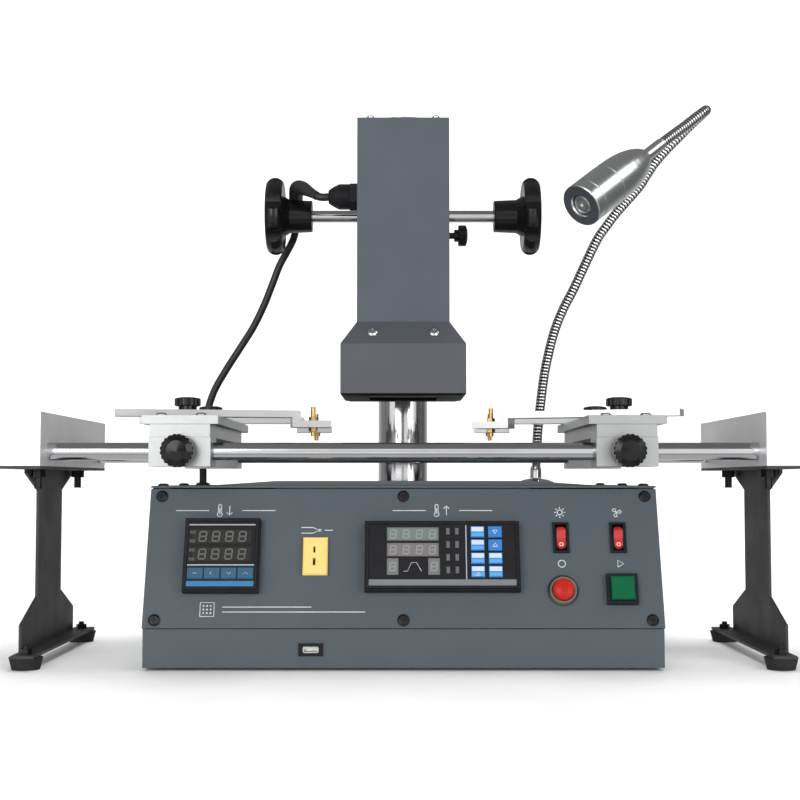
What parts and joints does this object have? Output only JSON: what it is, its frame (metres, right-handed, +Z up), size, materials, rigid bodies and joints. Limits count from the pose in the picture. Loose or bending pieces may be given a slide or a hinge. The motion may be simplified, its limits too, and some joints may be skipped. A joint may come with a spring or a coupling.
{
  "type": "ball grid array rework station",
  "caption": "Infrared chip rework station with a heated base and control panel, a lifting heater head on a swing column, a gooseneck lamp and a sliding board holder.",
  "frame": {"origin": "on the bench, under the middle of the whole station's box", "axes": "+X to the right seen from the front, +Y to the back, +Z up"},
  "size_m": [0.8, 0.424, 0.6363],
  "materials": {
    "slate_paint": "satin powder coat",
    "head_paint": "satin powder coat",
    "charcoal_paint": "matte powder coat",
    "block_paint": "fine blasted",
    "chrome": "polished",
    "steel": "brushed",
    "aluminium": "satin",
    "black_plastic": "fine grain",
    "black_gloss": "polished bakelite",
    "rubber": "matte",
    "ceramic": "unglazed ceramic",
    "yellow_plastic": "smooth",
    "red_plastic": "smooth",
    "rocker_red": "translucent",
    "green_plastic": "smooth",
    "lens": "clear",
    "bezel_black": "matte anodised"
  },
  "bodies": {
    "station": {"base_tray": "slate_paint", "top_cover": "slate_paint", "control_panel": "slate_paint", "housing_screws": "black_plastic", "rubber_feet": "rubber", "lower_controller": "black_plastic", "upper_controller": "black_plastic", "sensor_socket": "yellow_plastic", "usb_socket": "black_plastic", "switch_bezels": "black_plastic", "heater_tray": "steel", "heater_plates": "ceramic", "heater_guard": "steel", "relays": "black_plastic", "power_inlet": "black_plastic", "column": "chrome", "lamp_flange": "chrome", "cable_grommet": "rubber", "head_cable": "rubber", "end_blocks": "block_paint", "legs": "charcoal_paint", "rails": "chrome", "stand_bolts": "charcoal_paint"},
    "lamp": {"gooseneck": "chrome", "lamp_body": "aluminium", "lamp_lens": "lens"},
    "lighting_switch": {"lighting_rocker": "rocker_red"},
    "fan_switch": {"fan_rocker": "rocker_red"},
    "stop_switch": {"stop_button": "red_plastic"},
    "start_switch": {"start_button": "green_plastic"},
    "swing": {"swing_block": "charcoal_paint"},
    "lift_drive": {"pinion_shaft": "steel", "handwheels": "black_gloss"},
    "swing_lock": {"swing_lock_knob": "black_plastic"},
    "head": {"slide_rack": "steel", "head_shell": "head_paint", "head_hood": "head_paint", "heater_bezel": "bezel_black", "upper_heater": "ceramic", "fan_frame": "black_plastic", "fan_guard": "chrome", "head_screws": "chrome", "cable_gland": "black_plastic"},
    "fan": {"fan_rotor": "black_plastic"},
    "left_slide": {"left_carriage": "aluminium"},
    "right_slide": {"right_carriage": "aluminium"},
    "left_clamp": {"left_rail_knob": "black_plastic"},
    "right_clamp": {"right_rail_knob": "black_plastic"},
    "left_front_stud": {"left_front_bolt": "steel"},
    "left_front_holder": {"left_front_arm": "aluminium"},
    "left_front_nut": {"left_front_knob": "black_plastic"},
    "left_rear_stud": {"left_rear_bolt": "steel"},
    "left_rear_holder": {"left_rear_arm": "aluminium"},
    "left_rear_nut": {"left_rear_knob": "black_plastic"},
    "right_front_stud": {"right_front_bolt": "steel"},
    "right_front_holder": {"right_front_arm": "aluminium"},
    "right_front_nut": {"right_front_knob": "black_plastic"},
    "right_rear_stud": {"right_rear_bolt": "steel"},
    "right_rear_holder": {"right_rear_arm": "aluminium"},
    "right_rear_nut": {"right_rear_knob": "black_plastic"}
  },
  "joints": [
    {"name": "head_swing", "type": "hinge", "parent": "station", "child": "swing", "pos_m": [0, 0.13, 0.497], "axis": [0, 0, 1], "range_deg": [-60, 60], "deforming": ["head_cable"]},
    {"name": "head_lift", "type": "slide", "parent": "swing", "child": "head", "axis": [0, 0, 1], "range_m": [0, 0.06], "deforming": ["head_cable"]},
    {"name": "handwheel_turn", "type": "hinge", "parent": "swing", "child": "lift_drive", "pos_m": [0, 0.035, 0.497], "axis": [-1, 0, 0], "range_deg": [0, 306]},
    {"name": "swing_lock_turn", "type": "hinge", "parent": "swing", "child": "swing_lock", "pos_m": [0.06, 0.13, 0.491], "axis": [1, 0, 0], "range_deg": [-180, 180]},
    {"name": "fan_spin", "type": "hinge", "parent": "head", "child": "fan", "pos_m": [0, -0.04, 0.568], "axis": [0, 0, 1], "continuous": true},
    {"name": "lamp_swivel", "type": "hinge", "parent": "station", "child": "lamp", "pos_m": [0.163, 0.13, 0.19], "axis": [0, 0, 1], "range_deg": [-10, 45]},
    {"name": "lighting_rock", "type": "hinge", "parent": "station", "child": "lighting_switch", "pos_m": [0.16, -0.1549, 0.12833], "axis": [1, 0, 0], "range_deg": [-18, 0]},
    {"name": "fan_rock", "type": "hinge", "parent": "station", "child": "fan_switch", "pos_m": [0.218, -0.1549, 0.12833], "axis": [1, 0, 0], "range_deg": [-18, 0]},
    {"name": "stop_press", "type": "slide", "parent": "station", "child": "stop_switch", "axis": [0, 0.9487, -0.3162], "range_m": [0, 0.003], "stiffness_N_per_m": 600},
    {"name": "start_press", "type": "slide", "parent": "station", "child": "start_switch", "axis": [0, 0.9487, -0.3162], "range_m": [0, 0.003], "stiffness_N_per_m": 600},
    {"name": "left_carriage_slide", "type": "slide", "parent": "station", "child": "left_slide", "axis": [1, 0, 0], "range_m": [-0.052, 0.06]},
    {"name": "right_carriage_slide", "type": "slide", "parent": "station", "child": "right_slide", "axis": [1, 0, 0], "range_m": [-0.06, 0.052]},
    {"name": "left_rail_knob_turn", "type": "hinge", "parent": "left_slide", "child": "left_clamp", "pos_m": [-0.224, -0.2, 0.218], "axis": [0, 1, 0], "range_deg": [-180, 180]},
    {"name": "right_rail_knob_turn", "type": "hinge", "parent": "right_slide", "child": "right_clamp", "pos_m": [0.224, -0.2, 0.218], "axis": [0, 1, 0], "range_deg": [-180, 180]},
    {"name": "left_front_arm_slide", "type": "slide", "parent": "left_slide", "child": "left_front_stud", "axis": [0, 1, 0], "range_m": [-0.004, 0.048]},
    {"name": "left_front_arm_swivel", "type": "hinge", "parent": "left_front_stud", "child": "left_front_holder", "pos_m": [-0.224, -0.138, 0.258], "axis": [0, 0, 1], "range_deg": [-15, 15]},
    {"name": "left_front_knob_turn", "type": "hinge", "parent": "left_front_stud", "child": "left_front_nut", "pos_m": [-0.224, -0.138, 0.268], "axis": [0, 0, 1], "range_deg": [-180, 180]},
    {"name": "left_rear_arm_slide", "type": "slide", "parent": "left_slide", "child": "left_rear_stud", "axis": [0, 1, 0], "range_m": [-0.05, 0.005]},
    {"name": "left_rear_arm_swivel", "type": "hinge", "parent": "left_rear_stud", "child": "left_rear_holder", "pos_m": [-0.224, 0.04, 0.258], "axis": [0, 0, 1], "range_deg": [-15, 15]},
    {"name": "left_rear_knob_turn", "type": "hinge", "parent": "left_rear_stud", "child": "left_rear_nut", "pos_m": [-0.224, 0.04, 0.268], "axis": [0, 0, 1], "range_deg": [-180, 180]},
    {"name": "right_front_arm_slide", "type": "slide", "parent": "right_slide", "child": "right_front_stud", "axis": [0, 1, 0], "range_m": [-0.004, 0.048]},
    {"name": "right_front_arm_swivel", "type": "hinge", "parent": "right_front_stud", "child": "right_front_holder", "pos_m": [0.224, -0.138, 0.258], "axis": [0, 0, 1], "range_deg": [-10, 20]},
    {"name": "right_front_knob_turn", "type": "hinge", "parent": "right_front_stud", "child": "right_front_nut", "pos_m": [0.224, -0.138, 0.268], "axis": [0, 0, 1], "range_deg": [-180, 180]},
    {"name": "right_rear_arm_slide", "type": "slide", "parent": "right_slide", "child": "right_rear_stud", "axis": [0, 1, 0], "range_m": [-0.05, 0.005]},
    {"name": "right_rear_arm_swivel", "type": "hinge", "parent": "right_rear_stud", "child": "right_rear_holder", "pos_m": [0.224, 0.04, 0.258], "axis": [0, 0, 1], "range_deg": [-15, 15]},
    {"name": "right_rear_knob_turn", "type": "hinge", "parent": "right_rear_stud", "child": "right_rear_nut", "pos_m": [0.224, 0.04, 0.268], "axis": [0, 0, 1], "range_deg": [-180, 180]}
  ],
  "couplings": [
    {"joint": "handwheel_turn", "follows": "head_lift", "rad_per_m": 88.889}
  ]
}
